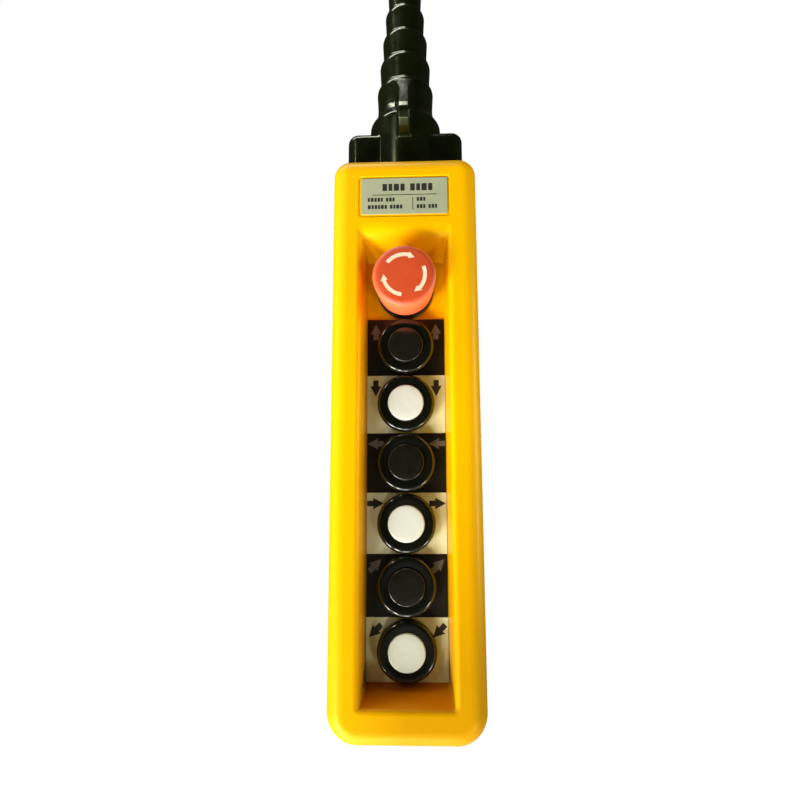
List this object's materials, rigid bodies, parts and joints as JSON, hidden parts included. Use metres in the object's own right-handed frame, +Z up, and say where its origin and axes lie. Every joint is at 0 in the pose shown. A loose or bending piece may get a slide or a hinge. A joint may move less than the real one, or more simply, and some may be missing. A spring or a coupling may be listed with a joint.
{
  "type": "pendant control station",
  "caption": "Hand-held pendant control station for a hoist: a column of push-buttons under a mushroom stop, in a two-part housing hung from a stepped rubber cable sleeve.",
  "frame": {"origin": "centre of the cable sleeve's mouth, where the cable enters and the station hangs from", "axes": "+Z up along the cable, +Y from the buttons to the back, +X to the right as seen from the front"},
  "size_m": [0.076, 0.0704, 0.4416],
  "materials": {
    "shell_yellow": "satin moulded",
    "rubber_black": "semi-gloss",
    "zinc_steel": "zinc plated",
    "spring_steel": "drawn wire",
    "aluminium_nut": "turned",
    "name_plate": "satin, printed",
    "legend_black": "satin",
    "legend_silver": "satin brushed",
    "cap_black": "semi-gloss",
    "cap_white": "semi-gloss",
    "stop_red": "satin moulded",
    "inner_plastic": "moulded",
    "block_plastic": "moulded",
    "carrier_plastic": "moulded",
    "contact_brass": "stamped"
  },
  "bodies": {
    "housing": {"front_shell": "shell_yellow", "rear_shell": "shell_yellow", "shell_gasket": "rubber_black", "cable_sleeve": "rubber_black", "cable_clamp": "zinc_steel", "cover_screws": "zinc_steel", "inner_screws": "zinc_steel", "nameplate": "name_plate", "operator_bodies": "inner_plastic", "operator_nuts": "aluminium_nut", "legend_up": "legend_black", "boot_up": "rubber_black", "spring_up": "spring_steel", "contact_block_up": "block_plastic", "legend_down": "legend_silver", "boot_down": "rubber_black", "spring_down": "spring_steel", "contact_block_down": "block_plastic", "legend_left": "legend_black", "boot_left": "rubber_black", "spring_left": "spring_steel", "contact_block_left": "block_plastic", "legend_right": "legend_silver", "boot_right": "rubber_black", "spring_right": "spring_steel", "contact_block_right": "block_plastic", "legend_forward": "legend_black", "boot_forward": "rubber_black", "spring_forward": "spring_steel", "contact_block_forward": "block_plastic", "legend_reverse": "legend_silver", "boot_reverse": "rubber_black", "spring_reverse": "spring_steel", "contact_block_reverse": "block_plastic", "estop_collar": "inner_plastic", "estop_spring": "spring_steel", "estop_contact_block": "block_plastic", "fixed_contacts": "contact_brass", "terminal_screws": "zinc_steel"},
    "button_up": {"cap_up": "cap_black", "plunger_up": "inner_plastic", "contact_bridge_up": "carrier_plastic"},
    "button_down": {"cap_down": "cap_white", "plunger_down": "inner_plastic", "contact_bridge_down": "carrier_plastic"},
    "button_left": {"cap_left": "cap_black", "plunger_left": "inner_plastic", "contact_bridge_left": "carrier_plastic"},
    "button_right": {"cap_right": "cap_white", "plunger_right": "inner_plastic", "contact_bridge_right": "carrier_plastic"},
    "button_forward": {"cap_forward": "cap_black", "plunger_forward": "inner_plastic", "contact_bridge_forward": "carrier_plastic"},
    "button_reverse": {"cap_reverse": "cap_white", "plunger_reverse": "inner_plastic", "contact_bridge_reverse": "carrier_plastic"},
    "stop_plunger": {"estop_stem": "inner_plastic", "estop_contact_bridge": "carrier_plastic"},
    "stop_head": {"estop_head": "stop_red"}
  },
  "joints": [
    {"name": "press_up", "type": "slide", "parent": "housing", "child": "button_up", "axis": [0, 1, 0], "range_m": [0, 0.004], "stiffness_N_per_m": 500, "springref_m": -0.004, "deforming": ["boot_up", "spring_up"]},
    {"name": "press_down", "type": "slide", "parent": "housing", "child": "button_down", "axis": [0, 1, 0], "range_m": [0, 0.004], "stiffness_N_per_m": 500, "springref_m": -0.004, "deforming": ["boot_down", "spring_down"]},
    {"name": "press_left", "type": "slide", "parent": "housing", "child": "button_left", "axis": [0, 1, 0], "range_m": [0, 0.004], "stiffness_N_per_m": 500, "springref_m": -0.004, "deforming": ["boot_left", "spring_left"]},
    {"name": "press_right", "type": "slide", "parent": "housing", "child": "button_right", "axis": [0, 1, 0], "range_m": [0, 0.004], "stiffness_N_per_m": 500, "springref_m": -0.004, "deforming": ["boot_right", "spring_right"]},
    {"name": "press_forward", "type": "slide", "parent": "housing", "child": "button_forward", "axis": [0, 1, 0], "range_m": [0, 0.004], "stiffness_N_per_m": 500, "springref_m": -0.004, "deforming": ["boot_forward", "spring_forward"]},
    {"name": "press_reverse", "type": "slide", "parent": "housing", "child": "button_reverse", "axis": [0, 1, 0], "range_m": [0, 0.004], "stiffness_N_per_m": 500, "springref_m": -0.004, "deforming": ["boot_reverse", "spring_reverse"]},
    {"name": "stop_push", "type": "slide", "parent": "housing", "child": "stop_plunger", "axis": [0, 1, 0], "range_m": [0, 0.004], "deforming": ["estop_spring"]},
    {"name": "stop_turn", "type": "hinge", "parent": "stop_plunger", "child": "stop_head", "pos_m": [0, -0.013, -0.223], "axis": [0, 1, 0], "range_deg": [0, 35], "stiffness_Nm_per_rad": 0.02, "springref_deg": -17.19}
  ]
}
